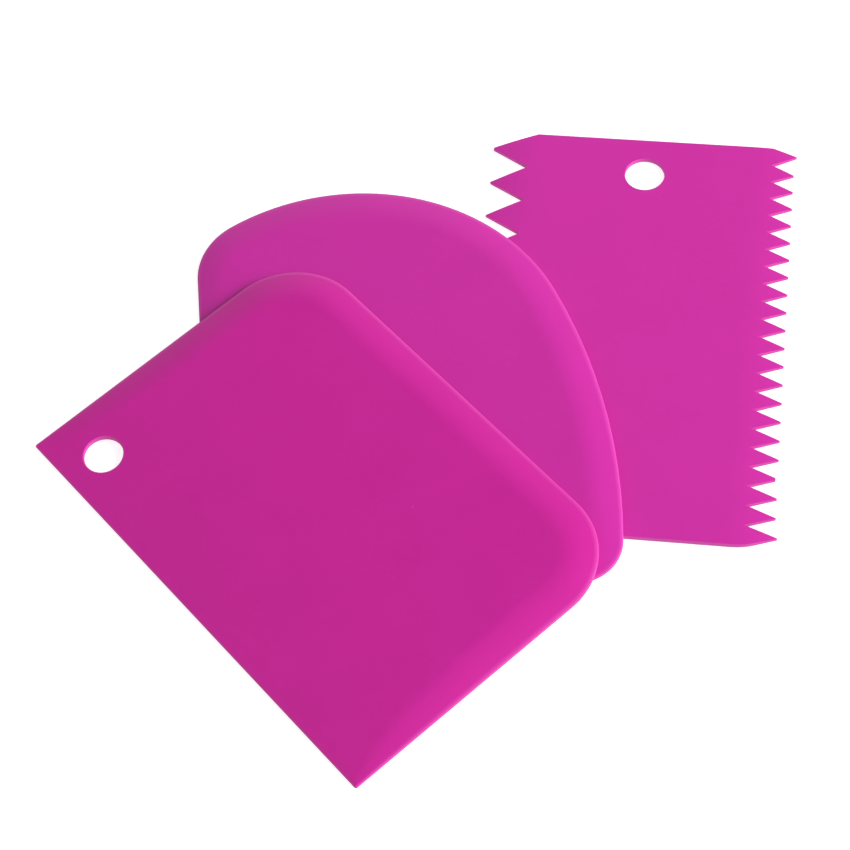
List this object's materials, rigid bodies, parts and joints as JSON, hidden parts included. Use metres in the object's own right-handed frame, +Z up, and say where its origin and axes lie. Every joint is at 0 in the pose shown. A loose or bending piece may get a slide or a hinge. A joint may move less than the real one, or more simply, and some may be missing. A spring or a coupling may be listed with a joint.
{
  "type": "icing smoother",
  "caption": "Fanned pile of thin plastic icing smoothers: a toothed comb lying flat, a bowl scraper with a domed back on it, and a straight scraper on top.",
  "frame": {"origin": "on the table under the middle of the comb, halfway between its two plain edges and between its two rows of tooth tips", "axes": "+X towards the comb's fine teeth, +Y towards the plain edge with the comb's hang hole, +Z up"},
  "size_m": [0.1672, 0.1746, 0.0053],
  "materials": {
    "comb_plastic": "satin magenta polypropylene",
    "bowl_plastic": "satin magenta polypropylene",
    "straight_plastic": "satin magenta polypropylene"
  },
  "bodies": {
    "comb": {"comb_scraper": "comb_plastic"},
    "bowl": {"bowl_scraper": "bowl_plastic"},
    "straight": {"straight_scraper": "straight_plastic"}
  },
  "joints": [
    {"name": "bowl_lift", "type": "slide", "parent": "comb", "child": "bowl", "axis": [0, 0, 1], "range_m": [0, 0.05]},
    {"name": "straight_lift", "type": "slide", "parent": "bowl", "child": "straight", "axis": [0, 0, 1], "range_m": [0, 0.05]}
  ]
}
